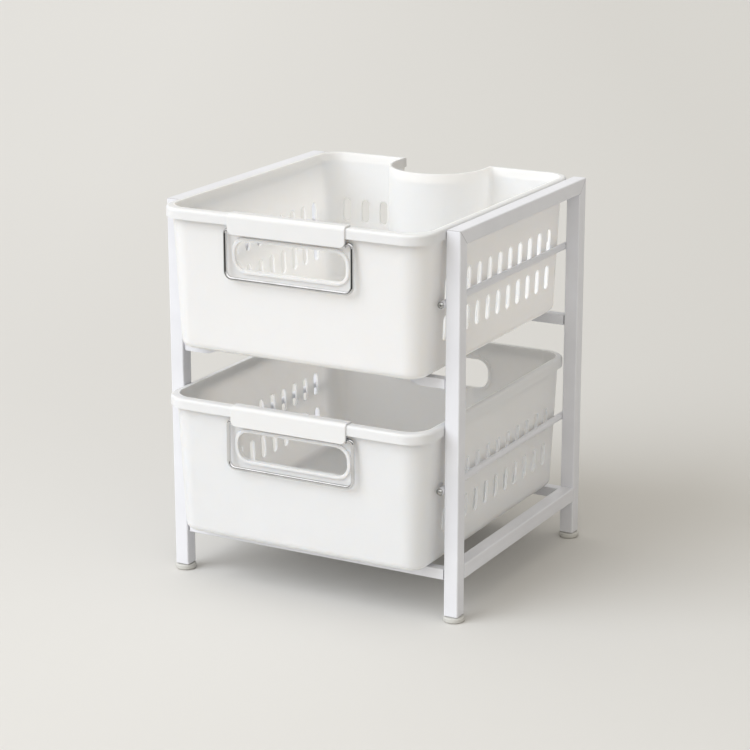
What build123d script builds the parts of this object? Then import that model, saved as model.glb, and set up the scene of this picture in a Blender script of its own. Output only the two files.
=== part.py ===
from build123d import *
import os
from math import atan, degrees

os.makedirs("parts", exist_ok=True)

# Two-tier organizer for the cupboard under a sink: a white steel tube frame with two
# pull-out plastic drawers. X runs across, Y from front to back and Z up from the floor.
# The origin is on the floor, under the middle of the whole object. Lengths are in mm.

# Frame sizes, read from the photograph with the object's width as the scale
frame_width = 285.0
frame_depth = 254.3
frame_height = 342.2
front_overhang = 40.0
rear_overhang = 5.3
tube_size = 13.2
tube_wall = 1.2
tube_edge = 1.3
bottom_rail_low = 36.7
cut_overrun = 20.0

front_face = (front_overhang - rear_overhang - frame_depth) / 2
rear_face = front_face + frame_depth
inner_face = frame_width / 2 - tube_size
leg_centre_x = frame_width / 2 - tube_size / 2

# Rubber foot sizes
foot_radius = 9.3
foot_height = 4.8
foot_reveal = 0.8
foot_edge = 1.4
plug_depth = 12.0
plug_chamfer = 1.0
foot_neck_inset = 1.0
leg_low = foot_height + foot_reveal

# Cross rails and the square studs they slip over
cross_size = 9.6
cross_wall = 1.0
cross_edge = 1.0
seam_gap = 1.4
stud_depth = 14.0
stud_chamfer = 0.8
cross_rail_lift = 0.2

# Front rest brackets of the upper drawer
rest_reach = 38.0
rest_height = 8.2
rest_curve = 17.0
rest_tip = 1.2

# Runner rods
rod_radius = 3.0
rod_flat = 0.3
rod_dome = 2.4
rod_lead = 5.5
rod_tail = 3.0
upper_rod_drop = 64.0
lower_rod_drop = 57.6

# Drawer tub sizes, with heights counted from the underside of the tub floor
tub_height_share = 0.3685
upper_rim_rise = 1.1
skid_height = 2.2
skid_gap = 0.3
skid_width = 7.0
skid_from_side = 25.3
skid_inset = 23.0
skid_edge = 1.6
tub_wall = 2.2
leg_gap = 0.5
rim_corner = 24.0
rim_height = 9.0
rim_skin = 2.0
rim_edge = 2.4
side_overhang = 3.5
front_lip = 6.0
wall_corner = 22.0
base_edge = 8.0
base_edge_inside = 6.0
wall_lean_share = 0.0475

rim_half = inner_face - leg_gap
plate_skin = 1.5
rim_front = front_face - front_overhang + plate_skin
rim_back = rear_face + rear_overhang
rim_middle = (rim_front + rim_back) / 2

# Levels: the upper rim stands just above the frame, and both tubs are equally high
tub_height = frame_height * tub_height_share
lower_rest_top = bottom_rail_low + cross_rail_lift + cross_size
lower_base = lower_rest_top + skid_gap + skid_height
upper_base = frame_height + upper_rim_rise - tub_height
upper_rest_top = upper_base - skid_height - skid_gap

# Side and back slots
slot_width = 8.3
slot_length = 22.0
slot_pitch_share = 0.0677
slot_count = 11
slot_shift = 6.5
lower_slot_share = 0.299
upper_slot_share = 0.5686
back_slot_pitch_share = 0.256
back_slot_count = 3
slot_pitch = (rim_back - rim_front) * slot_pitch_share
lower_slot_height = tub_height * lower_slot_share
upper_slot_height = tub_height * upper_slot_share

# Pipe recess in the back of the upper tub
recess_half = 44.0
recess_straight = 19.0
recess_blend = 4.5

# Hand holes with their raised bead, with drops counted down from the rim top
hole_length = 108.0
hole_height = 26.0
hole_corner_share = 0.423
hole_drop = 35.5
bead_width = 3.2
bead_height = 1.7
bead_edge = 1.1
collar_depth = 3.4
back_hole_length = 96.0
back_hole_height = 28.0
back_hole_drop = 31.1

# Grip plate over the front rim
plate_margin = 2.5
plate_bead_gap = 2.6
plate_corner = 5.0
plate_lip_depth = 5.0
plate_edge = 0.7
plate_width = hole_length + 2 * plate_margin
plate_drop = hole_drop - hole_height / 2 - bead_width - plate_bead_gap

# Wire bail and its lugs
wire_radius = 1.7
pivot_clearance = 0.05
pivot_above_plate = 2.9
pivot_setback = 3.2
bail_side_gap = 4.7
bail_bead_gap = 3.8
bail_corner = 6.5
bail_bend = 3.2
lug_inset = 1.0
lug_width = 6.0
lug_radius = 3.0
lug_face_gap = 0.2
wire_end_inset = 0.4
pivot_drop = plate_drop - pivot_above_plate
bail_half = plate_width / 2 + bail_side_gap
bail_drop = hole_drop - pivot_drop + hole_height / 2 + bead_width + bail_bead_gap
lug_outer = plate_width / 2 - lug_inset

recess_centre = rim_back - recess_straight
pivot_y = rim_front + pivot_setback


# Rounded rectangle between a front and a back line at one level
def plan_at(half_width, front, back, corner, level):
    with BuildSketch(Plane.XY.offset(level)) as plan:
        with Locations((0, (front + back) / 2)):
            RectangleRounded(2 * half_width, back - front, corner)
    return plan.sketch


# Front, back and side lines of the tub wall at a height above the tub floor's underside
def wall_lines(height, inset):
    step_in = (tub_height - height) * wall_lean_share + inset
    half_width = rim_half - side_overhang - step_in
    front = rim_front + front_lip + step_in
    back = rim_back - side_overhang - step_in
    return half_width, front, back


# Solid with the leaning walls of the tub, rounded along its lower edge
def leaning_block(base, low, high, inset, lower_round):
    half_width, front, back = wall_lines(high, inset)
    with BuildPart() as block:
        add(plan_at(half_width, front, back, wall_corner - inset, base + high))
        extrude(amount=low - high, taper=degrees(atan(wall_lean_share)))
        fillet(block.faces().sort_by(Axis.Z)[0].edges(), lower_round)
    return block.part


# Outline of the U-shaped pipe recess, open past the back of the rim
def recess_block(half_width, low, high):
    with BuildPart() as block:
        with BuildSketch(Plane.XY.offset(low)):
            with Locations((0, recess_centre)):
                Circle(half_width)
            with Locations((0, recess_centre + cut_overrun)):
                Rectangle(2 * half_width, 2 * cut_overrun)
        extrude(amount=high - low)
    return block.part


# Plane that lies on the leaning front or back wall at a height, facing outwards
def wall_plane(base, height, end):
    _, front, back = wall_lines(height, 0)
    if end == "front":
        return Plane(origin=(0, front, base + height), x_dir=(1, 0, 0), z_dir=(0, -1, -wall_lean_share))
    return Plane(origin=(0, back, base + height), x_dir=(-1, 0, 0), z_dir=(0, 1, -wall_lean_share))


# Raised bead and inner collar around a hand hole, as a ring that is still closed
def hole_collar(plane, length, height):
    with BuildPart() as collar:
        with BuildSketch(plane.offset(-collar_depth)):
            corner = height * hole_corner_share + bead_width
            RectangleRounded(length + 2 * bead_width, height + 2 * bead_width, corner)
        extrude(amount=collar_depth + bead_height)
        fillet(collar.faces().sort_by(Axis(plane.origin, plane.z_dir))[-1].edges(), bead_edge)
    return collar.part


# Through cut of a hand hole
def hole_cut(plane, length, height):
    with BuildPart() as cut:
        with BuildSketch(plane.offset(-cut_overrun)):
            RectangleRounded(length, height, height * hole_corner_share)
        extrude(amount=2 * cut_overrun)
    return cut.part


# Straight square tube along Y between two end lines
def tube_along_y(x_middle, z_middle, front, back):
    with BuildPart() as tube:
        with BuildSketch(Plane.XZ.offset(-front)):
            with Locations((x_middle, z_middle)):
                RectangleRounded(tube_size, tube_size, tube_edge)
                Rectangle(tube_size - 2 * tube_wall, tube_size - 2 * tube_wall, mode=Mode.SUBTRACT)
        extrude(amount=front - back)
    return tube.part


# Wedge that holds everything on one side of a 45 degree mitre at the top of a leg
def mitre_wedge(face_y, inward, keep_leg):
    far = tube_size + cut_overrun
    corner_a = (face_y - inward * cut_overrun, frame_height + cut_overrun)
    corner_b = (face_y + inward * far, frame_height - far)
    if keep_leg:
        corner_c = (face_y + inward * far, frame_height + cut_overrun)
    else:
        corner_c = (face_y - inward * cut_overrun, frame_height - far)
    with BuildPart() as wedge:
        with BuildSketch(Plane.YZ):
            with BuildLine():
                Polyline(corner_a, corner_b, corner_c, close=True)
            make_face()
        extrude(amount=frame_width, both=True)
    return wedge.part


sides = (("left", -1), ("right", 1))
ends = (("front", front_face, 1), ("rear", rear_face, -1))

# Legs: square tube from the foot to the mitred top corner
for side_name, side in sides:
    for end_name, face_y, inward in ends:
        wedge_part = mitre_wedge(face_y, inward, True)
        with BuildPart() as leg:
            with BuildSketch(Plane.XY.offset(leg_low)):
                with Locations((side * leg_centre_x, face_y + inward * tube_size / 2)):
                    RectangleRounded(tube_size, tube_size, tube_edge)
                    Rectangle(tube_size - 2 * tube_wall, tube_size - 2 * tube_wall, mode=Mode.SUBTRACT)
            extrude(amount=frame_height - leg_low)
            add(wedge_part, mode=Mode.SUBTRACT)
        node = side_name + "_" + end_name + "_leg"
        leg.part.label = node
        export_step(leg.part, "parts/" + node + ".step")

# Top rails: square tube mitred at both ends, flush with the leg tops
for side_name, side in sides:
    plain_tube = tube_along_y(side * leg_centre_x, frame_height - tube_size / 2, front_face, rear_face)
    front_wedge = mitre_wedge(front_face, 1, False)
    rear_wedge = mitre_wedge(rear_face, -1, False)
    with BuildPart() as top_rail:
        add(plain_tube)
        add(front_wedge, mode=Mode.SUBTRACT)
        add(rear_wedge, mode=Mode.SUBTRACT)
    node = side_name + "_top_rail"
    top_rail.part.label = node
    export_step(top_rail.part, "parts/" + node + ".step")

# Bottom rails: square tube butted between the front and rear legs
for side_name, side in sides:
    rail_tube = tube_along_y(
        side * leg_centre_x,
        bottom_rail_low + tube_size / 2,
        front_face + tube_size,
        rear_face - tube_size,
    )
    with BuildPart() as bottom_rail:
        add(rail_tube)
    node = side_name + "_bottom_rail"
    bottom_rail.part.label = node
    export_step(bottom_rail.part, "parts/" + node + ".step")

# Cross rails: smaller square tube across the width, each over a stud at both ends
cross_rails = (
    ("bottom_front", front_face + tube_size / 2, lower_rest_top),
    ("bottom_rear", rear_face - tube_size / 2, lower_rest_top),
    ("middle_rear", rear_face - tube_size / 2, upper_rest_top),
)
bore_size = cross_size - 2 * cross_wall
for rail_name, rail_y, rest_top in cross_rails:
    with BuildPart() as cross_rail:
        with BuildSketch(Plane.YZ.offset(seam_gap - inner_face)):
            with Locations((rail_y, rest_top - cross_size / 2)):
                RectangleRounded(cross_size, cross_size, cross_edge)
                Rectangle(bore_size, bore_size, mode=Mode.SUBTRACT)
        extrude(amount=2 * (inner_face - seam_gap))
    cross_rail.part.label = rail_name + "_rail"
    export_step(cross_rail.part, "parts/" + rail_name + "_rail.step")
    for side_name, side in sides:
        with BuildPart() as stud:
            with BuildSketch(Plane.YZ.offset(side * inner_face)):
                with Locations((rail_y, rest_top - cross_size / 2)):
                    Rectangle(bore_size, bore_size)
            extrude(amount=-side * (seam_gap + stud_depth))
            tip_face = stud.faces().sort_by(Axis.X)[0 if side > 0 else -1]
            chamfer(tip_face.edges(), stud_chamfer)
        node = rail_name + "_" + side_name + "_stud"
        stud.part.label = node
        export_step(stud.part, "parts/" + node + ".step")

# Front rests: short brackets with a rounded underside that runs out to a thin tip
rest_y = front_face + tube_size / 2
for side_name, side in sides:
    root_x = side * (inner_face - seam_gap)
    tip_x = side * (inner_face - rest_reach)
    curve_x = tip_x + side * rest_curve
    rest_low = upper_rest_top - rest_height
    with BuildPart() as front_rest:
        with BuildSketch(Plane.XZ.offset(-rest_y)):
            with BuildLine():
                Line((tip_x, upper_rest_top), (root_x, upper_rest_top))
                Line((root_x, upper_rest_top), (root_x, rest_low))
                Line((root_x, rest_low), (curve_x, rest_low))
                TangentArc((curve_x, rest_low), (tip_x, upper_rest_top - rest_tip), tangent=(-side, 0))
                Line((tip_x, upper_rest_top - rest_tip), (tip_x, upper_rest_top))
            make_face()
        extrude(amount=cross_size / 2, both=True)
        with BuildSketch(Plane.YZ.offset(side * inner_face)):
            with Locations((rest_y, upper_rest_top - rest_height / 2)):
                Rectangle(bore_size, rest_height - 2 * cross_wall)
        extrude(amount=-side * seam_gap)
    node = side_name + "_front_rest"
    front_rest.part.label = node
    export_step(front_rest.part, "parts/" + node + ".step")

# Runner rods: round rod with flats where it is welded to the inner faces of the legs
rod_levels = (
    ("upper", upper_base + tub_height - upper_rod_drop),
    ("lower", lower_base + tub_height - lower_rod_drop),
)
for level_name, rod_height in rod_levels:
    for side_name, side in sides:
        with BuildPart() as rod:
            with BuildSketch(Plane.XZ.offset(rod_lead - front_face)):
                with Locations((side * (inner_face - rod_radius + rod_flat), rod_height)):
                    Circle(rod_radius)
            extrude(amount=-(rod_lead + frame_depth - rod_tail))
            fillet(rod.faces().sort_by(Axis.Y)[0].edges(), rod_dome)
            for end_name, face_y, inward in ends:
                flat_x = side * (inner_face + rod_radius)
                flat_y = face_y + inward * tube_size / 2
                with Locations((flat_x, flat_y, rod_height)):
                    Box(2 * rod_radius, tube_size, 2 * rod_radius, mode=Mode.SUBTRACT)
        node = side_name + "_" + level_name + "_rod"
        rod.part.label = node
        export_step(rod.part, "parts/" + node + ".step")

# Feet: round rubber foot with a narrow neck and a square plug up into the leg tube
plug_size = tube_size - 2 * tube_wall
for side_name, side in sides:
    for end_name, face_y, inward in ends:
        with BuildPart() as foot:
            with Locations((side * leg_centre_x, face_y + inward * tube_size / 2)):
                Cylinder(foot_radius, foot_height, align=(Align.CENTER, Align.CENTER, Align.MIN))
            fillet(foot.edges().filter_by(GeomType.CIRCLE), foot_edge)
            with BuildSketch(Plane.XY.offset(foot_height)):
                with Locations((side * leg_centre_x, face_y + inward * tube_size / 2)):
                    Rectangle(plug_size - foot_neck_inset, plug_size - foot_neck_inset)
            extrude(amount=foot_reveal)
            with BuildSketch(Plane.XY.offset(leg_low)):
                with Locations((side * leg_centre_x, face_y + inward * tube_size / 2)):
                    Rectangle(plug_size, plug_size)
            extrude(amount=plug_depth)
            chamfer(foot.faces().sort_by(Axis.Z)[-1].edges(), plug_chamfer)
        node = side_name + "_" + end_name + "_foot"
        foot.part.label = node
        export_step(foot.part, "parts/" + node + ".step")

# Drawers: tub, grip plate and wire bail for each tier
for tier_name, base in (("upper", upper_base), ("lower", lower_base)):
    rim_top = base + tub_height
    has_recess = tier_name == "upper"

    # Tub, outside form: leaning shell block under a turned-down rim that is hollow below
    outer_block = leaning_block(base, 0, tub_height, 0, base_edge)
    with BuildPart() as rim_block:
        add(plan_at(rim_half, rim_front, rim_back, rim_corner, rim_top - rim_height))
        extrude(amount=rim_height)
        fillet(rim_block.faces().sort_by(Axis.Z)[-1].edges(), rim_edge)
    with BuildPart() as rim_hollow:
        add(plan_at(
            rim_half - rim_skin,
            rim_front + rim_skin,
            rim_back - rim_skin,
            rim_corner - rim_skin,
            rim_top - rim_height,
        ))
        extrude(amount=rim_height - rim_skin)
        if has_recess:
            with Locations((0, rim_back, rim_top - rim_height / 2)):
                Box(
                    2 * (recess_half + tub_wall),
                    2 * cut_overrun,
                    2 * rim_height,
                    mode=Mode.SUBTRACT,
                )

    # Tub, inside form: the same leaning walls one wall thickness further in
    inner_block = leaning_block(base, tub_wall, tub_height + tub_wall, tub_wall, base_edge_inside)
    recess_cut = recess_block(recess_half, base - cut_overrun, rim_top + cut_overrun)
    recess_wall = recess_block(recess_half + tub_wall, base - cut_overrun, rim_top + cut_overrun)
    with BuildPart() as cavity:
        add(inner_block)
        if has_recess:
            add(recess_wall, mode=Mode.SUBTRACT)
            seam_edges = [
                edge
                for edge in cavity.edges().filter_by(GeomType.LINE)
                if edge.length > tub_height / 2
                and abs(abs(edge.center().X) - recess_half - tub_wall) < tub_wall / 2
                and edge.center().Y > recess_centre + recess_blend
            ]
            fillet(seam_edges, recess_blend)

    with BuildPart() as tub:
        add(rim_block.part)
        add(rim_hollow.part, mode=Mode.SUBTRACT)
        add(outer_block)

        # Skids: two strips under the floor that slide on the rests and rails
        skid_middle = wall_lines(0, 0)[0] - skid_from_side
        skid_front = rim_front + skid_inset
        skid_back = rim_back - skid_inset
        with BuildSketch(Plane.XY.offset(base - skid_height)):
            with Locations(
                (-skid_middle, (skid_front + skid_back) / 2),
                (skid_middle, (skid_front + skid_back) / 2),
            ):
                RectangleRounded(skid_width, skid_back - skid_front, skid_edge)
        extrude(amount=skid_height)

        # Lugs: bored bosses on the front wall that carry the ends of the wire bail
        pivot_z = rim_top - pivot_drop
        lug_front = rim_front + lug_face_gap
        lug_back = rim_front + front_lip + tub_wall / 2
        for side_name, side in sides:
            with BuildSketch(Plane.YZ.offset(side * (lug_outer - lug_width / 2))):
                with Locations(((lug_front + lug_back) / 2, pivot_z)):
                    Rectangle(lug_back - lug_front, 2 * lug_radius)
            extrude(amount=lug_width / 2, both=True)
        if has_recess:
            add(recess_cut, mode=Mode.SUBTRACT)
        add(cavity.part, mode=Mode.SUBTRACT)

    # Hand hole in the front wall, and one in the plain back wall of the lower tub
    holes = [("front", hole_length, hole_height, hole_drop)]
    if not has_recess:
        holes.append(("back", back_hole_length, back_hole_height, back_hole_drop))
    collars = []
    cuts = []
    for hole_end, length, height, drop in holes:
        hole_plane = wall_plane(base, tub_height - drop, hole_end)
        collars.append(hole_collar(hole_plane, length, height))
        cuts.append(hole_cut(hole_plane, length, height))

    with BuildPart() as finished_tub:
        add(tub.part)
        for collar_part in collars:
            add(collar_part)
        for cut_part in cuts:
            add(cut_part, mode=Mode.SUBTRACT)

        # Bores for the wire ends
        for side_name, side in sides:
            with Locations((side * (lug_outer - lug_width / 2), pivot_y, pivot_z)):
                Cylinder(
                    wire_radius + pivot_clearance,
                    2 * lug_width,
                    rotation=(0, 90, 0),
                    mode=Mode.SUBTRACT,
                )

        # Two rows of upright slots in both side walls
        half_width, _, back = wall_lines(upper_slot_height, 0)
        for side_name, side in sides:
            with BuildSketch(Plane.YZ.offset(side * (half_width + cut_overrun / 2))):
                for row_height in (lower_slot_height, upper_slot_height):
                    with Locations((rim_middle + slot_shift, base + row_height)):
                        with GridLocations(slot_pitch, slot_pitch, slot_count, 1):
                            SlotOverall(slot_length, slot_width, rotation=90)
            extrude(amount=-side * cut_overrun, mode=Mode.SUBTRACT)

        # Three upright slots on each side of the pipe recess
        if has_recess:
            back_row = (recess_half + tub_wall / 2 + half_width) / 2
            back_slot_pitch = (half_width - recess_half - tub_wall) * back_slot_pitch_share
            with BuildSketch(Plane.XZ.offset(-back - cut_overrun / 2)):
                with Locations((-back_row, base + upper_slot_height), (back_row, base + upper_slot_height)):
                    with GridLocations(back_slot_pitch, back_slot_pitch, back_slot_count, 1):
                        SlotOverall(slot_length, slot_width, rotation=90)
            extrude(amount=cut_overrun, mode=Mode.SUBTRACT)
    finished_tub.part.label = tier_name + "_tub"
    export_step(finished_tub.part, "parts/" + tier_name + "_tub.step")

    # Grip plate: bent cover that hangs over the front rim and hooks inside the tub
    plate_bottom = rim_top - plate_drop
    outer_edge = rim_edge + plate_skin
    hook_y = wall_lines(tub_height, tub_wall)[1] + plate_lip_depth * wall_lean_share
    with BuildPart() as plate:
        with BuildSketch(Plane.YZ.offset(-plate_width / 2)):
            with BuildLine():
                Line((rim_front, plate_bottom), (rim_front, rim_top - rim_edge))
                RadiusArc(
                    (rim_front, rim_top - rim_edge), (rim_front + rim_edge, rim_top), rim_edge
                )
                Line((rim_front + rim_edge, rim_top), (hook_y, rim_top))
                Line((hook_y, rim_top), (hook_y, rim_top - plate_lip_depth))
                Line(
                    (hook_y, rim_top - plate_lip_depth),
                    (hook_y + plate_skin, rim_top - plate_lip_depth),
                )
                Line(
                    (hook_y + plate_skin, rim_top - plate_lip_depth),
                    (hook_y + plate_skin, rim_top),
                )
                RadiusArc((hook_y + plate_skin, rim_top), (hook_y, rim_top + plate_skin), -plate_skin)
                Line((hook_y, rim_top + plate_skin), (rim_front + rim_edge, rim_top + plate_skin))
                RadiusArc(
                    (rim_front + rim_edge, rim_top + plate_skin),
                    (rim_front - plate_skin, rim_top - rim_edge),
                    -outer_edge,
                )
                Line((rim_front - plate_skin, rim_top - rim_edge), (rim_front - plate_skin, plate_bottom))
                Line((rim_front - plate_skin, plate_bottom), (rim_front, plate_bottom))
            make_face()
        extrude(amount=plate_width)
        fillet(plate.edges().filter_by(Axis.Y).sort_by(Axis.Z)[:2], plate_corner)
        front_skin = plate.faces().sort_by(Axis.Y)[0]
        fillet(front_skin.edges().sort_by(Axis.Z)[:-1], plate_edge)
    plate.part.label = tier_name + "_grip_plate"
    export_step(plate.part, "parts/" + tier_name + "_grip_plate.step")

    # Wire bail: one bent wire with both ends turned inwards into the lugs
    wire_end = lug_outer - lug_width + wire_end_inset
    bar_z = pivot_z - bail_drop
    with BuildPart() as bail:
        with BuildLine() as bail_line:
            with BuildLine(Plane.XZ.offset(-pivot_y)):
                FilletPolyline(
                    (-bail_half, (pivot_z + bar_z) / 2),
                    (-bail_half, bar_z),
                    (bail_half, bar_z),
                    (bail_half, (pivot_z + bar_z) / 2),
                    radius=bail_corner,
                )
                for side_name, side in sides:
                    FilletPolyline(
                        (side * bail_half, (pivot_z + bar_z) / 2),
                        (side * bail_half, pivot_z),
                        (side * wire_end, pivot_z),
                        radius=bail_bend,
                    )
        with BuildSketch(Plane.YZ.offset(-wire_end)):
            with Locations((pivot_y, pivot_z)):
                Circle(wire_radius)
        sweep(path=bail_line.wires()[0])
    bail.part.label = tier_name + "_bail"
    export_step(bail.part, "parts/" + tier_name + "_bail.step")
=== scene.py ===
import bmesh
import bpy
from math import radians
from mathutils import Matrix, Vector


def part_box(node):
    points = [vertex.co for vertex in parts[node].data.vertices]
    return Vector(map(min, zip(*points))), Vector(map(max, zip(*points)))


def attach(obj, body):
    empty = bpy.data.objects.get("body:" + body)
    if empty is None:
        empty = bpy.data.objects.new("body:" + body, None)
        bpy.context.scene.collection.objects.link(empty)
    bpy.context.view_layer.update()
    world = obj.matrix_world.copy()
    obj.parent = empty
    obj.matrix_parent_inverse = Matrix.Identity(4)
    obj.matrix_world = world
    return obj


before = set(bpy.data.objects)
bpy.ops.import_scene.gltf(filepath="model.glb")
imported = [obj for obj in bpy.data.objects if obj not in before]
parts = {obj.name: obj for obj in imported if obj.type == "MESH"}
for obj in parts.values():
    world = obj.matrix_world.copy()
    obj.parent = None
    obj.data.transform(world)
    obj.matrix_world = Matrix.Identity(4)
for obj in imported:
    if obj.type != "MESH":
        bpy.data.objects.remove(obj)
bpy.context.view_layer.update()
scene = bpy.context.scene
scene.view_settings.view_transform = "Standard"

# White powder coat on the steel frame: square tube mitred at the top corners of both sides,
# with butted rails, welded rests and ground seams under one baked coat. The coat has a
# fine orange peel, is a little thinner in patches and leaves a hairline at each mitre.
coat_white = (0.797, 0.804, 0.842, 1.0)
coat_thin = (0.760, 0.767, 0.806, 1.0)
coat_line = (0.400, 0.400, 0.410, 1.0)
coat_rough = (0.36, 0.46)
patches_per_metre = 24.0
dulling_per_metre = 90.0
peel_per_metre = 1300.0
peel_bump = (0.10, 0.0002)
mitre_line_half = 0.00022
mitre_line_fade = 2.4 * mitre_line_half
mitre_line_share = 0.75
cloud_span = (0.35, 0.7)
grain_span = (0.3, 0.7)


def new_finish(name):
    made = bpy.data.materials.new(name)
    made.use_nodes = True
    made.node_tree.nodes.clear()
    shader = made.node_tree.nodes.new("ShaderNodeBsdfPrincipled")
    output = made.node_tree.nodes.new("ShaderNodeOutputMaterial")
    made.node_tree.links.new(shader.outputs["BSDF"], output.inputs["Surface"])
    return made, shader


def feed(made, socket, value):
    if isinstance(value, bpy.types.NodeSocket):
        made.node_tree.links.new(value, socket)
    else:
        socket.default_value = value


def node(made, kind, inputs=None, **settings):
    new = made.node_tree.nodes.new(kind)
    for key, value in settings.items():
        setattr(new, key, value)
    for key, value in (inputs or {}).items():
        feed(made, new.inputs[key], value)
    return new


def connect(made, shader, **sockets):
    for key, value in sockets.items():
        feed(made, shader.inputs[key.replace("_", " ")], value)


def sum_of(made, operation, first, second=0.0, third=0.0):
    terms = {0: first, 1: second, 2: third}
    return node(made, "ShaderNodeMath", terms, operation=operation).outputs[0]


def place_of(made, stretch=(1, 1, 1)):
    place = node(made, "ShaderNodeTexCoord").outputs["Object"]
    return node(made, "ShaderNodeMapping", {"Vector": place, "Scale": stretch}).outputs["Vector"]


def axes_of(made, vector):
    return node(made, "ShaderNodeSeparateXYZ", {"Vector": vector}).outputs


def clouds(made, place, per_metre, detail=2.0):
    settings = {"Vector": place, "Scale": per_metre, "Detail": detail, "Roughness": 0.5}
    return node(made, "ShaderNodeTexNoise", settings).outputs["Fac"]


def between(made, value, low, high, to_low=0.0, to_high=1.0):
    limits = {"Value": value, "From Min": low, "From Max": high, "To Min": to_low, "To Max": to_high}
    return node(made, "ShaderNodeMapRange", limits, clamp=True).outputs["Result"]


def blend_colour(made, share, first, second):
    mixed = node(made, "ShaderNodeMix", data_type="RGBA")
    for key, value in ((0, share), (6, first), (7, second)):
        feed(made, mixed.inputs[key], value)
    return mixed.outputs[2]


def bumps(made, height, strength, depth):
    settings = {"Height": height, "Strength": strength, "Distance": depth}
    return node(made, "ShaderNodeBump", settings).outputs["Normal"]


def dress(names, finish):
    for name in names:
        parts[name].material_slots[0].material = finish


leg_low, leg_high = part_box("left_front_leg")
frame_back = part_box("left_rear_leg")[1].y
frame_top = leg_high.z
frame_middle = (leg_low.y + frame_back) / 2
frame_half_depth = (frame_back - leg_low.y) / 2

coat, coat_shader = new_finish("powder_coat")
coat_place = place_of(coat)
coat_patches = between(coat, clouds(coat, coat_place, patches_per_metre), *cloud_span)
coat_colour = blend_colour(coat, coat_patches, coat_white, coat_thin)
coat_axes = axes_of(coat, coat_place)
from_middle = sum_of(coat, "ABSOLUTE", sum_of(coat, "SUBTRACT", coat_axes["Y"], frame_middle))
from_end = sum_of(coat, "SUBTRACT", frame_half_depth, from_middle)
from_top = sum_of(coat, "SUBTRACT", frame_top, coat_axes["Z"])
from_mitre = sum_of(coat, "ABSOLUTE", sum_of(coat, "SUBTRACT", from_top, from_end))
on_line = between(coat, from_mitre, mitre_line_half, mitre_line_fade, mitre_line_share, 0)
coat_dulling = clouds(coat, coat_place, dulling_per_metre, detail=3.0)
coat_peel = clouds(coat, coat_place, peel_per_metre, detail=1.0)
connect(
    coat,
    coat_shader,
    Base_Color=blend_colour(coat, on_line, coat_colour, coat_line),
    Roughness=between(coat, coat_dulling, *grain_span, *coat_rough),
    Normal=bumps(coat, coat_peel, *peel_bump),
    IOR=1.5,
)

sides = ("left", "right")
ends = ("front", "rear")
frame_tubes = ["bottom_front_rail", "bottom_rear_rail", "middle_rear_rail"]
for side in sides:
    frame_tubes += [side + "_front_leg", side + "_rear_leg", side + "_top_rail"]
    frame_tubes += [side + "_bottom_rail", side + "_front_rest"]
dress(frame_tubes, coat)

# Square studs that the cross rails slip over: bare zinc-plated steel that shows only as a
# thin dark line in the seam at each end of a rail.
stud_zinc = (0.50, 0.50, 0.51, 1.0)
stud_dull = (0.30, 0.30, 0.31, 1.0)
stud_rough = (0.32, 0.5)
zinc_streaks = (40, 900, 900)
zinc_bump = (0.15, 0.0001)

zinc, zinc_shader = new_finish("stud_zinc")
zinc_lines = clouds(zinc, place_of(zinc, zinc_streaks), 1.0)
connect(
    zinc,
    zinc_shader,
    Base_Color=blend_colour(zinc, between(zinc, zinc_lines, *grain_span), stud_zinc, stud_dull),
    Metallic=1.0,
    Roughness=between(zinc, zinc_lines, *grain_span, *stud_rough),
    Normal=bumps(zinc, zinc_lines, *zinc_bump),
)
rail_names = ("bottom_front", "bottom_rear", "middle_rear")
dress([rail + "_" + side + "_stud" for rail in rail_names for side in sides], zinc)

# Runner rods: round steel rod under the same coat. The domed front ends stand clear of the
# legs and are rubbed bright by the drawers, so the bare steel shows there.
rod_bare = (0.52, 0.52, 0.51, 1.0)
rod_steel_dark = (0.33, 0.33, 0.32, 1.0)
rod_rough = (0.40, 0.26)
rod_streaks = (900, 60, 900)
bare_length = 0.0030
bare_fade = 0.0004
bare_fray = 0.0009
fray_per_metre = 700.0
paint_per_metre = 30.0
scratch_span = (0.35, 0.65)

rod_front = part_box("left_upper_rod")[0].y
bare_end = rod_front + bare_length

rod_coat, rod_shader = new_finish("rod_coat")
rod_place = place_of(rod_coat)
rod_fray = clouds(rod_coat, rod_place, fray_per_metre, detail=3.0)
rod_fray = sum_of(rod_coat, "MULTIPLY", rod_fray, bare_fray)
rod_edge = sum_of(rod_coat, "ADD", axes_of(rod_coat, rod_place)["Y"], rod_fray)
bare = between(rod_coat, rod_edge, bare_end, bare_end + bare_fade, 1, 0)
rod_scratch = clouds(rod_coat, place_of(rod_coat, rod_streaks), 1.0, detail=3.0)
steel_shade = between(rod_coat, rod_scratch, *scratch_span)
steel_colour = blend_colour(rod_coat, steel_shade, rod_bare, rod_steel_dark)
paint_patches = clouds(rod_coat, rod_place, paint_per_metre)
paint_colour = blend_colour(rod_coat, paint_patches, coat_white, coat_thin)
rod_peel = clouds(rod_coat, rod_place, peel_per_metre, detail=1.0)
connect(
    rod_coat,
    rod_shader,
    Base_Color=blend_colour(rod_coat, bare, paint_colour, steel_colour),
    Metallic=bare,
    Roughness=between(rod_coat, bare, 0, 1, *rod_rough),
    Normal=bumps(rod_coat, rod_peel, *peel_bump),
)
levels = ("upper", "lower")
dress([side + "_" + level + "_rod" for side in sides for level in levels], rod_coat)

# Tack welds that hold each rod to the inner faces of the legs: a short rippled bead above
# and below the rod, laid into the crevice and coated over with the frame.
bead_start = 0.00042
bead_length = 0.0086
bead_sides = 12
bead_lift_share = 0.80
bead_sink = 0.0007
ripple_widths = (1.8, 1.30, 1.10, 0.92, 1.08, 0.92, 1.08, 0.80, 0.45)
ripple_step = bead_length / len(ripple_widths)


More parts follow.
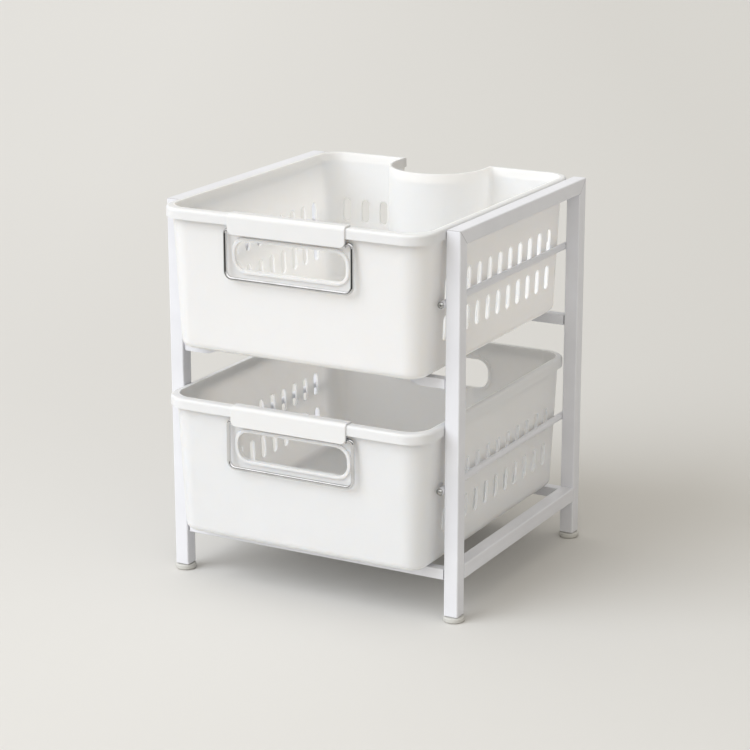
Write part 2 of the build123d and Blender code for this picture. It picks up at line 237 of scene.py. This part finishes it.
def weld_bead(name, middle):
    mesh = bmesh.new()
    ring = bmesh.ops.create_circle(mesh, segments=bead_sides, radius=bead_start)["verts"]
    quarter_turn = Matrix.Rotation(radians(90), 3, "X")
    bmesh.ops.rotate(mesh, verts=ring, cent=(0, 0, 0), matrix=quarter_turn)
    bmesh.ops.translate(mesh, verts=ring, vec=(0, -bead_length / 2, 0))
    edges = mesh.edges[:]
    for width in ripple_widths:
        grown = bmesh.ops.extrude_edge_only(mesh, edges=edges)["geom"]
        ring = [part for part in grown if isinstance(part, bmesh.types.BMVert)]
        edges = [part for part in grown if isinstance(part, bmesh.types.BMEdge)]
        bmesh.ops.translate(mesh, verts=ring, vec=(0, ripple_step, 0))
        centre = sum((vert.co for vert in ring), Vector()) / len(ring)
        to_centre = Matrix.Translation(-centre)
        bmesh.ops.scale(mesh, verts=ring, vec=(width, 1, width), space=to_centre)
    bmesh.ops.holes_fill(mesh, edges=mesh.edges[:], sides=0)
    bmesh.ops.translate(mesh, verts=mesh.verts[:], vec=middle)
    bmesh.ops.recalc_face_normals(mesh, faces=mesh.faces[:])
    data = bpy.data.meshes.new(name)
    mesh.to_mesh(data)
    mesh.free()
    data.shade_smooth()
    piece = bpy.data.objects.new(name, data)
    scene.collection.objects.link(piece)
    data.materials.append(coat)
    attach(piece, "frame")


for side, outward in (("left", -1), ("right", 1)):
    for level in levels:
        rod_low, rod_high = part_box(side + "_" + level + "_rod")
        rod_z = (rod_low.z + rod_high.z) / 2
        rod_radius = (rod_high.z - rod_low.z) / 2
        for end in ends:
            corner_low, corner_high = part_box(side + "_" + end + "_leg")
            wall_x = corner_high.x if outward < 0 else corner_low.x
            bead_x = wall_x - outward * bead_sink
            bead_y = (corner_low.y + corner_high.y) / 2
            for above, word in ((-1, "low"), (1, "top")):
                bead_z = rod_z + above * rod_radius * bead_lift_share
                weld_bead("_".join((side, level, end, "weld", word)), (bead_x, bead_y, bead_z))

# Feet: pale grey moulded rubber, dull, with a faint moulding line round the side and some
# floor dust on the lower edge. A plug holds each one in its leg.
rubber_pale = (0.600, 0.595, 0.565, 1.0)
rubber_dust = (0.420, 0.405, 0.370, 1.0)
rubber_rough = (0.62, 0.78)
rubber_grain_per_metre = 900.0
rubber_bump = (0.2, 0.00015)
dust_fray = 0.0014
dust_low = 0.0004
dust_high = 0.0019
dust_share = 0.7
mould_line_height = 0.0031
mould_line_half = 0.00006
mould_line_fade = 0.00018
mould_line_share = 0.25

foot_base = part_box("left_front_foot")[0].z

rubber, rubber_shader = new_finish("foot_rubber")
rubber_place = place_of(rubber)
foot_height = sum_of(rubber, "SUBTRACT", axes_of(rubber, rubber_place)["Z"], foot_base)
rubber_grain = clouds(rubber, rubber_place, rubber_grain_per_metre, detail=3.0)
dust_edge = sum_of(rubber, "MULTIPLY_ADD", rubber_grain, dust_fray, -dust_fray / 2)
dust_height = sum_of(rubber, "ADD", foot_height, dust_edge)
dust = between(rubber, dust_height, dust_low, dust_high, dust_share, 0)
from_line = sum_of(rubber, "ABSOLUTE", sum_of(rubber, "SUBTRACT", foot_height, mould_line_height))
mould_line = between(rubber, from_line, mould_line_half, mould_line_fade, mould_line_share, 0)
rubber_colour = blend_colour(rubber, dust, rubber_pale, rubber_dust)
connect(
    rubber,
    rubber_shader,
    Base_Color=blend_colour(rubber, mould_line, rubber_colour, rubber_dust),
    Roughness=between(rubber, rubber_grain, *grain_span, *rubber_rough),
    Normal=bumps(rubber, rubber_grain, *rubber_bump),
    IOR=1.48,
)
dress([side + "_" + end + "_foot" for side in sides for end in ends], rubber)

# Drawer tubs: injection-moulded white plastic with leaning walls, a rolled rim, beaded hand
# holes and upright slots. The skin is satin with faint flow clouds from the mould and fine
# rubbing marks, and light scatters in the wall. The inner face is painted lighter: painted
# light that stands in for the light gathering inside the tubs.
plastic_white = (0.780, 0.783, 0.790, 1.0)
plastic_flow = (0.768, 0.770, 0.776, 1.0)
# Inner colour: painted light, a whiter copy of the plastic used on the tubs' inner faces.
plastic_inner_painted_light = (0.958, 0.952, 0.938, 1.0)
plastic_rough = (0.33, 0.38)
flow_stretch = (1, 1, 0.45)
flow_per_metre = 16.0
rub_streaks = (700, 30, 700)
rub_span = (0.3, 0.8)
grain_per_metre = 800.0
waves_per_metre = 34.0
wave_height = 6.0
plastic_bump = (0.04, 0.0001)
wall_scatter = 0.95
rim_scatter = 0.35
outer_scatter_depth = 0.0055
inner_scatter_depth = 0.0105
wall_lean = 0.0475
wall_corner = 0.022
wall_middle = 0.0011
floor_middle = 0.0033
front_lip = 0.006
side_lip = 0.0035
rim_band = 0.0095
rim_fade = 0.002
recess_half = 0.044
recess_straight = 0.019


def vector_of(made, operation, first, second=(0, 0, 0)):
    terms = {0: first, 1: second}
    return node(made, "ShaderNodeVectorMath", terms, operation=operation).outputs["Vector"]


def length_of(made, vector):
    return node(made, "ShaderNodeVectorMath", {0: vector}, operation="LENGTH").outputs["Value"]


tub_low, tub_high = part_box("lower_tub")
upper_low_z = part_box("upper_tub")[0].z
tub_pitch = upper_low_z - tub_low.z
tub_rise = tub_high.z - tub_low.z
wall_front = tub_low.y + front_lip
wall_back = tub_high.y - side_lip
wall_centre = (0, (wall_front + wall_back) / 2, 0)
straight_x = tub_high.x - side_lip - wall_corner
straight_y = (wall_back - wall_front) / 2 - wall_corner
wall_straight = (straight_x, straight_y, 1)
recess_axis = (0, tub_high.y - recess_straight, 0)
level_plan = (1, 1, 0)
before_axis = (1, 0, 0)
skin_edges = (0.8 * wall_middle, 1.2 * wall_middle)
floor_edges = (0.9 * floor_middle, 1.1 * floor_middle)

plastic, plastic_shader = new_finish("tub_plastic")
plastic_place = place_of(plastic)
plastic_axes = axes_of(plastic, plastic_place)
above_base = sum_of(plastic, "SUBTRACT", plastic_axes["Z"], tub_low.z)
above_base = sum_of(plastic, "MODULO", above_base, tub_pitch)
below_rim = sum_of(plastic, "SUBTRACT", tub_rise, above_base)
in_rim = between(plastic, above_base, tub_rise - rim_band, tub_rise - rim_band + rim_fade)

past_straight = vector_of(plastic, "SUBTRACT", plastic_place, wall_centre)
past_straight = vector_of(plastic, "ABSOLUTE", past_straight)
past_straight = vector_of(plastic, "SUBTRACT", past_straight, wall_straight)
past_straight = vector_of(plastic, "MAXIMUM", past_straight)
wall_depth = sum_of(plastic, "SUBTRACT", wall_corner, length_of(plastic, past_straight))
wall_depth = sum_of(plastic, "MULTIPLY_ADD", below_rim, -wall_lean, wall_depth)
past_wall = between(plastic, wall_depth, *skin_edges)
past_floor = between(plastic, above_base, *floor_edges)

from_recess = vector_of(plastic, "SUBTRACT", plastic_place, recess_axis)
from_recess = vector_of(plastic, "MULTIPLY", from_recess, level_plan)
from_recess = vector_of(plastic, "MINIMUM", from_recess, before_axis)
recess_depth = sum_of(plastic, "SUBTRACT", length_of(plastic, from_recess), recess_half)
on_lower_tub = sum_of(plastic, "LESS_THAN", plastic_axes["Z"], upper_low_z)
past_recess = sum_of(plastic, "MAXIMUM", between(plastic, recess_depth, *skin_edges), on_lower_tub)
# The inner-face mask marks where the painted light goes; it also picks the deeper scatter.
inner_painted_light_mask = sum_of(plastic, "MINIMUM", sum_of(plastic, "MINIMUM", past_wall, past_floor), past_recess)

flow = clouds(plastic, place_of(plastic, flow_stretch), flow_per_metre, detail=3.0)
flow = between(plastic, flow, *cloud_span)
outer_colour = blend_colour(plastic, flow, plastic_white, plastic_flow)
rub_marks = clouds(plastic, place_of(plastic, rub_streaks), 1.0, detail=1.0)
plastic_grain = clouds(plastic, plastic_place, grain_per_metre, detail=1.0)
plastic_waves = clouds(plastic, plastic_place, waves_per_metre, detail=1.0)
plastic_height = sum_of(plastic, "MULTIPLY_ADD", plastic_waves, wave_height, plastic_grain)
# Base colour: inner faces take the painted light colour, outer faces the real white.
connect(
    plastic,
    plastic_shader,
    Base_Color=blend_colour(plastic, inner_painted_light_mask, outer_colour, plastic_inner_painted_light),
    Roughness=between(plastic, rub_marks, *rub_span, *plastic_rough),
    Subsurface_Weight=between(plastic, in_rim, 0, 1, wall_scatter, rim_scatter),
    Subsurface_Radius=(1.0, 0.90, 0.80),
    Subsurface_Scale=between(plastic, inner_painted_light_mask, 0, 1, outer_scatter_depth, inner_scatter_depth),
    Normal=bumps(plastic, plastic_height, *plastic_bump),
    IOR=1.49,
)
dress(["upper_tub", "lower_tub"], plastic)

# Grip plates: separate covers pressed over the front rim, moulded in the same white but
# with a polished face.
plate_white = (0.780, 0.783, 0.788, 1.0)
plate_shade = (0.768, 0.770, 0.773, 1.0)
plate_rough = (0.18, 0.26)
polish_streaks = (25, 900, 900)
plate_patches_per_metre = 40.0
plate_waves_per_metre = 60.0
plate_bump = (0.05, 0.0002)

gloss, gloss_shader = new_finish("plate_plastic")
gloss_place = place_of(gloss)
gloss_patches = between(gloss, clouds(gloss, gloss_place, plate_patches_per_metre), *cloud_span)
gloss_waves = clouds(gloss, gloss_place, plate_waves_per_metre, detail=1.0)
polish_marks = clouds(gloss, place_of(gloss, polish_streaks), 1.0)
connect(
    gloss,
    gloss_shader,
    Base_Color=blend_colour(gloss, gloss_patches, plate_white, plate_shade),
    Roughness=between(gloss, polish_marks, *grain_span, *plate_rough),
    Subsurface_Weight=0.30,
    Subsurface_Radius=(1.0, 0.88, 0.74),
    Subsurface_Scale=0.0015,
    Normal=bumps(gloss, gloss_waves, *plate_bump),
    IOR=1.49,
)
dress(["upper_grip_plate", "lower_grip_plate"], gloss)

# Wire bails: bent steel wire with bright chrome plating. Fine drawing lines run along the
# wire, and the plating is faintly hazed where fingers lift it.
chrome_bright = (0.68, 0.68, 0.69, 1.0)
chrome_haze = (0.56, 0.56, 0.56, 1.0)
chrome_rough = (0.06, 0.13)
drawing_streaks = (60, 3200, 60)
drawing_bump = (0.05, 0.00004)
haze_per_metre = 75.0
haze_span = (0.45, 0.75)
dulled_span = (0.4, 0.75)

chrome, chrome_shader = new_finish("bail_chrome")
drawing = clouds(chrome, place_of(chrome, drawing_streaks), 1.0)
haze = clouds(chrome, place_of(chrome), haze_per_metre, detail=3.0)
haze_share = between(chrome, haze, *haze_span)
connect(
    chrome,
    chrome_shader,
    Base_Color=blend_colour(chrome, haze_share, chrome_bright, chrome_haze),
    Metallic=1.0,
    Roughness=between(chrome, haze, *dulled_span, *chrome_rough),
    Normal=bumps(chrome, drawing, *drawing_bump),
)
dress(["upper_bail", "lower_bail"], chrome)

# Floor: one wide pale sheet. Its colour is painted lighter in front, with painted shade in a
# band further back and painted shade falling off towards the right, standing in for how the
# light falls across the studio paper; it keeps the cast shadow of the organizer.
floor_reach = 9.0
floor_sides = 96
floor_drop = 0.00005
away = Vector((-0.479, 0.878, 0.0))
across = Vector((0.878, 0.479, 0.0))
depth_span = (-0.6, 1.8)
cross_span = (-0.45, 0.60)
cross_most = 0.48
# Painted light and shade on the floor: lighter in front, a darker band further back, darker towards
# the right.
floor_right_painted_shade = (0.55, 0.54, 0.51, 1)
floor_painted_light_and_shade_tones = (
    (0.00, (0.800, 0.794, 0.776, 1)),
    (0.18, (0.800, 0.793, 0.774, 1)),
    (0.40, (0.715, 0.708, 0.690, 1)),
    (0.62, (0.715, 0.708, 0.690, 1)),
    (1.00, (0.735, 0.729, 0.710, 1)),
)


def along(made, place, way):
    terms = {0: place, 1: way}
    return node(made, "ShaderNodeVectorMath", terms, operation="DOT_PRODUCT").outputs["Value"]


def graded(made, share, tones, blend="LINEAR"):
    graded_node = node(made, "ShaderNodeValToRGB", {"Fac": share})
    ramp = graded_node.color_ramp
    ramp.interpolation = blend
    ramp.elements[0].position, ramp.elements[0].color = tones[0]
    ramp.elements[1].position, ramp.elements[1].color = tones[-1]
    for position, colour in tones[1:-1]:
        ramp.elements.new(position).color = colour
    return graded_node.outputs["Color"]


floor_mesh = bmesh.new()
bmesh.ops.create_circle(floor_mesh, cap_ends=True, segments=floor_sides, radius=floor_reach)
bmesh.ops.translate(floor_mesh, verts=floor_mesh.verts[:], vec=(0, 0, -floor_drop))
floor_data = bpy.data.meshes.new("floor_sheet")
floor_mesh.to_mesh(floor_data)
floor_mesh.free()
floor_sheet = bpy.data.objects.new("floor_sheet", floor_data)
scene.collection.objects.link(floor_sheet)

paper, paper_shader = new_finish("floor_paper")
paper_place = place_of(paper)
# These shares place the painted light and painted shade across the floor.
depth_share = between(paper, along(paper, paper_place, away), *depth_span)
depth_painted_light_and_shade = graded(paper, depth_share, floor_painted_light_and_shade_tones, "B_SPLINE")
cross_painted_shade_share = between(paper, along(paper, paper_place, across), *cross_span, 0, cross_most)
connect(
    paper,
    paper_shader,
    Base_Color=blend_colour(paper, cross_painted_shade_share, depth_painted_light_and_shade, floor_right_painted_shade),
    Roughness=0.75,
    Specular_IOR_Level=0.15,
)
floor_data.materials.append(paper)

# Light: a weak wide sun from the upper left front, and a pale room that is brightest above
# the front. Polished metal sees a graded band and a dark flag low in front instead.
sun_strength = 1.68
sun_spread = 0.85
sun_colour = (0.945, 1.0, 1.085)
sun_from = Vector((-0.470, -0.671, 0.574))
flag_reach = 0.42
flag_low = 0.095
flag_high = 0.26
flag_first = radians(-56)
flag_last = radians(52)
flag_steps = 24
flag_dark = (0.055, 0.055, 0.055, 1)
room_brightest = (-0.10, -0.55, 0.83)
room_span = (-0.2, 1)
room_pale = (0.755, 0.745, 0.720, 1)
room_tones = ((0.0, (0.225, 0.217, 0.204, 1)), (1.0, (1.045, 0.998, 0.918, 1)))
band_tones = (
    (0.00, (0.40, 0.40, 0.39, 1)),
    (0.25, (0.85, 0.85, 0.83, 1)),
    (0.42, (1.15, 1.15, 1.13, 1)),
    (0.85, (1.80, 1.80, 1.79, 1)),
)

sun_data = bpy.data.lights.new("window_light", "SUN")
sun_data.energy = sun_strength
sun_data.angle = sun_spread
sun_data.color = sun_colour
sun = bpy.data.objects.new("window_light", sun_data)
sun.rotation_mode = "QUATERNION"
sun.rotation_quaternion = sun_from.to_track_quat("Z", "Y")
scene.collection.objects.link(sun)
sun.visible_glossy = False

bail_middle = (0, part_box("upper_bail")[0].y, 0)
flag_foot = (0, bail_middle[1] - flag_reach, flag_low)
flag_head = (0, bail_middle[1] - flag_reach, flag_high)
flag_mesh = bmesh.new()
flag_pole = [flag_mesh.verts.new(flag_foot), flag_mesh.verts.new(flag_head)]
flag_pole.append(flag_mesh.edges.new(flag_pole))
first_turn = Matrix.Rotation(flag_first, 3, "Z")
bmesh.ops.rotate(flag_mesh, verts=flag_pole[:2], cent=bail_middle, matrix=first_turn)
bmesh.ops.spin(
    flag_mesh,
    geom=flag_pole,
    cent=bail_middle,
    axis=(0, 0, 1),
    angle=flag_last - flag_first,
    steps=flag_steps,
)
flag_data = bpy.data.meshes.new("front_flag")
flag_mesh.to_mesh(flag_data)
flag_mesh.free()
flag_cloth = bpy.data.materials.new("flag_cloth")
flag_cloth.use_nodes = True
flag_cloth.node_tree.nodes.clear()
flag_glow = node(flag_cloth, "ShaderNodeEmission", {"Color": flag_dark, "Strength": 1.0})
node(flag_cloth, "ShaderNodeOutputMaterial", {"Surface": flag_glow.outputs[0]})
flag_data.materials.append(flag_cloth)
flag = bpy.data.objects.new("front_flag", flag_data)
scene.collection.objects.link(flag)
flag.visible_camera = False
flag.visible_diffuse = False
flag.visible_transmission = False
flag.visible_volume_scatter = False
flag.visible_shadow = False

room = bpy.data.worlds.new("room")
room.use_nodes = True
scene.world = room
room.node_tree.nodes.clear()


def room_light(colour):
    return node(room, "ShaderNodeBackground", {"Color": colour, "Strength": 1.0}).outputs[0]


def chosen(when, first, second):
    return node(room, "ShaderNodeMixShader", {0: when, 1: first, 2: second}).outputs[0]


paths = node(room, "ShaderNodeLightPath").outputs
direction = node(room, "ShaderNodeTexCoord").outputs["Generated"]
band_share = between(room, axes_of(room, direction)["Z"], 0, 1)
room_share = between(room, along(room, direction, room_brightest), *room_span)
band = room_light(graded(room, band_share, band_tones))
even = room_light(graded(room, room_share, room_tones))
for_metal = chosen(paths["Is Glossy Ray"], even, band)
seen = chosen(paths["Is Camera Ray"], for_metal, room_light(room_pale))
node(room, "ShaderNodeOutputWorld", {"Surface": seen})

# Camera: the photograph's place and frame, with a long lens that looks down a little on the
# drawers from the right of the front.
camera_place = Vector((0.9684, -1.7732, 0.7554))
camera_turn = radians(28.554)
camera_lift = radians(16.058)
camera_roll = radians(-0.073)
camera_lens = 112.248
camera_sensor = 36.0
camera_near = 0.1
camera_far = 60.0

camera_data = bpy.data.cameras.new("camera")
camera_data.sensor_width = camera_sensor
camera_data.lens = camera_lens
camera_data.clip_start = camera_near
camera_data.clip_end = camera_far
camera = bpy.data.objects.new("camera", camera_data)
turned = Matrix.Rotation(camera_turn, 4, "Z")
raised = Matrix.Rotation(radians(90) - camera_lift, 4, "X")
rolled = Matrix.Rotation(camera_roll, 4, "Z")
camera.matrix_world = Matrix.Translation(camera_place) @ turned @ raised @ rolled
scene.collection.objects.link(camera)
scene.camera = camera
